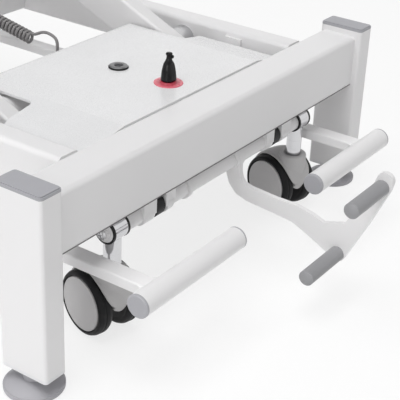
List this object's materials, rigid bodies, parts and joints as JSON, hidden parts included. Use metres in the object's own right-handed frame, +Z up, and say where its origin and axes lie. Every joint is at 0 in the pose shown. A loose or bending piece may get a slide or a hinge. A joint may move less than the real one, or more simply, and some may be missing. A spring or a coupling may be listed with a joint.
{
  "type": "treatment table",
  "caption": "Electric hi-lo treatment table: steel base on four posts, parallel lift arms, foot-lever castors, side foot bars and an upholstered top with a raising back section.",
  "frame": {"origin": "on the floor below the middle of the upholstered top, as the table stands at rest", "axes": "+X across the table to its right side seen from the lever end, +Y along it from the lever end to the far end, +Z up"},
  "size_m": [0.68, 1.95, 0.5751],
  "materials": {
    "white_paint": "semi-gloss white powder coat",
    "white_cover": "glossy white enamel",
    "white_plastic": "moulded, matt",
    "grey_plastic": "moulded, fine grain",
    "grey_rubber": "matt rubber",
    "tyre_rubber": "soft black tread",
    "cord_sheath": "matt cord sheath",
    "black_plastic": "moulded, satin",
    "red_plastic": "glossy",
    "bright_steel": "bright plated",
    "vinyl": "coated upholstery fabric, fine grain"
  },
  "bodies": {
    "base": {"front_cross_rail": "white_paint", "rear_cross_rail": "white_paint", "left_side_rail": "white_paint", "right_side_rail": "white_paint", "front_left_post": "white_paint", "front_right_post": "white_paint", "rear_left_post": "white_paint", "rear_right_post": "white_paint", "post_caps": "grey_plastic", "post_plugs": "white_plastic", "base_cover": "white_cover", "cover_screw": "grey_plastic", "key_collar": "red_plastic", "cord_gland": "grey_rubber", "curly_cord": "cord_sheath", "control_box": "grey_plastic", "frame_crossbars": "white_paint", "shaft_bearings": "white_paint", "lower_arm_shafts": "bright_steel"},
    "key_head": {"key": "black_plastic"},
    "actuator": {"actuator_housing": "black_plastic"},
    "rod": {"actuator_rod": "bright_steel"},
    "front_arms": {"front_lift_arms": "white_paint"},
    "rear_arms": {"rear_lift_arms": "white_paint", "rod_pin": "bright_steel"},
    "top": {"top_frame": "white_paint", "seat_cushion": "vinyl", "upper_arm_shafts": "bright_steel", "back_hinge_pins": "bright_steel"},
    "back_section": {"back_frame": "white_paint", "back_cushion": "vinyl"},
    "front_castor_gear": {"front_castor_shaft": "white_paint", "front_castor_clamps": "bright_steel", "front_clamp_rings": "black_plastic", "castor_lever": "white_paint", "lever_pegs": "grey_rubber"},
    "rear_castor_gear": {"rear_castor_shaft": "white_paint", "rear_castor_clamps": "bright_steel"},
    "link": {"castor_link": "white_paint"},
    "left_bar": {"left_foot_bar": "white_paint", "left_foot_bar_caps": "grey_plastic"},
    "right_bar": {"right_foot_bar": "white_paint", "right_foot_bar_caps": "grey_plastic"},
    "front_left_castor": {"front_left_hood": "grey_plastic"},
    "front_left_wheel_pair": {"front_left_wheels": "tyre_rubber", "front_left_hub_caps": "grey_plastic"},
    "front_left_glide": {"front_left_foot": "grey_rubber"},
    "front_right_castor": {"front_right_hood": "grey_plastic"},
    "front_right_wheel_pair": {"front_right_wheels": "tyre_rubber", "front_right_hub_caps": "grey_plastic"},
    "front_right_glide": {"front_right_foot": "grey_rubber"},
    "rear_left_castor": {"rear_left_hood": "grey_plastic"},
    "rear_left_wheel_pair": {"rear_left_wheels": "tyre_rubber", "rear_left_hub_caps": "grey_plastic"},
    "rear_left_glide": {"rear_left_foot": "grey_rubber"},
    "rear_right_castor": {"rear_right_hood": "grey_plastic"},
    "rear_right_wheel_pair": {"rear_right_wheels": "tyre_rubber", "rear_right_hub_caps": "grey_plastic"},
    "rear_right_glide": {"rear_right_foot": "grey_rubber"}
  },
  "joints": [
    {"name": "lift", "type": "hinge", "parent": "base", "child": "front_arms", "pos_m": [0, -0.561, 0.19], "axis": [1, 0, 0], "range_deg": [-12, 24]},
    {"name": "rear_arms_turn", "type": "hinge", "parent": "base", "child": "rear_arms", "pos_m": [0, -0.101, 0.19], "axis": [1, 0, 0], "range_deg": [-13, 25]},
    {"name": "top_level", "type": "hinge", "parent": "front_arms", "child": "top", "pos_m": [0, 0.02681, 0.44315], "axis": [1, 0, 0], "range_deg": [-25, 13]},
    {"name": "back_tilt", "type": "hinge", "parent": "top", "child": "back_section", "pos_m": [0, -0.32, 0.54275], "axis": [-1, 0, 0], "range_deg": [0, 60]},
    {"name": "actuator_tilt", "type": "hinge", "parent": "base", "child": "actuator", "pos_m": [0, -0.54, 0.14], "axis": [1, 0, 0], "range_deg": [-6, 6]},
    {"name": "rod_slide", "type": "slide", "parent": "actuator", "child": "rod", "axis": [0, 0.9995, -0.0307], "range_m": [-0.02, 0.035]},
    {"name": "castor_lever_turn", "type": "hinge", "parent": "base", "child": "front_castor_gear", "pos_m": [0, -0.7555, 0.1315], "axis": [1, 0, 0], "range_deg": [-20, 0]},
    {"name": "rear_castor_turn", "type": "hinge", "parent": "base", "child": "rear_castor_gear", "pos_m": [0, 0.4945, 0.1315], "axis": [1, 0, 0], "range_deg": [-21, 1]},
    {"name": "link_swing", "type": "hinge", "parent": "front_castor_gear", "child": "link", "pos_m": [-0.07, -0.7055, 0.106], "axis": [1, 0, 0], "range_deg": [-1, 21]},
    {"name": "left_bar_rock", "type": "hinge", "parent": "base", "child": "left_bar", "pos_m": [-0.217, -0.125, 0.1035], "axis": [1, 0, 0], "range_deg": [-1, 1], "stiffness_Nm_per_rad": 400},
    {"name": "right_bar_rock", "type": "hinge", "parent": "base", "child": "right_bar", "pos_m": [0.217, -0.125, 0.1035], "axis": [1, 0, 0], "range_deg": [-1, 1], "stiffness_Nm_per_rad": 400},
    {"name": "key_turn", "type": "hinge", "parent": "base", "child": "key_head", "pos_m": [0, -0.686, 0.222], "axis": [0, 0, 1], "range_deg": [0, 90]},
    {"name": "front_left_swivel", "type": "hinge", "parent": "front_castor_gear", "child": "front_left_castor", "pos_m": [-0.185, -0.755, 0.09], "axis": [0, 0, 1], "continuous": true},
    {"name": "front_left_roll", "type": "hinge", "parent": "front_left_castor", "child": "front_left_wheel_pair", "pos_m": [-0.18028, -0.73608, 0.0385], "axis": [0.9703, -0.2419, 0], "continuous": true},
    {"name": "front_left_foot_turn", "type": "hinge", "parent": "base", "child": "front_left_glide", "pos_m": [-0.305, -0.753, 0.012], "axis": [0, 0, 1], "continuous": true},
    {"name": "front_right_swivel", "type": "hinge", "parent": "front_castor_gear", "child": "front_right_castor", "pos_m": [0.185, -0.755, 0.09], "axis": [0, 0, 1], "continuous": true},
    {"name": "front_right_roll", "type": "hinge", "parent": "front_right_castor", "child": "front_right_wheel_pair", "pos_m": [0.18972, -0.73608, 0.0385], "axis": [0.9703, -0.2419, 0], "continuous": true},
    {"name": "front_right_foot_turn", "type": "hinge", "parent": "base", "child": "front_right_glide", "pos_m": [0.305, -0.753, 0.012], "axis": [0, 0, 1], "continuous": true},
    {"name": "rear_left_swivel", "type": "hinge", "parent": "rear_castor_gear", "child": "rear_left_castor", "pos_m": [-0.185, 0.495, 0.09], "axis": [0, 0, 1], "continuous": true},
    {"name": "rear_left_roll", "type": "hinge", "parent": "rear_left_castor", "child": "rear_left_wheel_pair", "pos_m": [-0.18028, 0.51392, 0.0385], "axis": [0.9703, -0.2419, 0], "continuous": true},
    {"name": "rear_left_foot_turn", "type": "hinge", "parent": "base", "child": "rear_left_glide", "pos_m": [-0.305, 0.503, 0.012], "axis": [0, 0, 1], "continuous": true},
    {"name": "rear_right_swivel", "type": "hinge", "parent": "rear_castor_gear", "child": "rear_right_castor", "pos_m": [0.185, 0.495, 0.09], "axis": [0, 0, 1], "continuous": true},
    {"name": "rear_right_roll", "type": "hinge", "parent": "rear_right_castor", "child": "rear_right_wheel_pair", "pos_m": [0.18972, 0.51392, 0.0385], "axis": [0.9703, -0.2419, 0], "continuous": true},
    {"name": "rear_right_foot_turn", "type": "hinge", "parent": "base", "child": "rear_right_glide", "pos_m": [0.305, 0.503, 0.012], "axis": [0, 0, 1], "continuous": true}
  ],
  "couplings": [
    {"joint": "rear_arms_turn", "follows": "lift", "ratio": 1},
    {"joint": "top_level", "follows": "lift", "ratio": -1},
    {"joint": "actuator_tilt", "follows": "lift", "ratio": -0.0515},
    {"joint": "rod_slide", "follows": "lift", "m_per_rad": 0.0637},
    {"joint": "rear_castor_turn", "follows": "castor_lever_turn", "ratio": 1},
    {"joint": "link_swing", "follows": "castor_lever_turn", "ratio": -1}
  ]
}
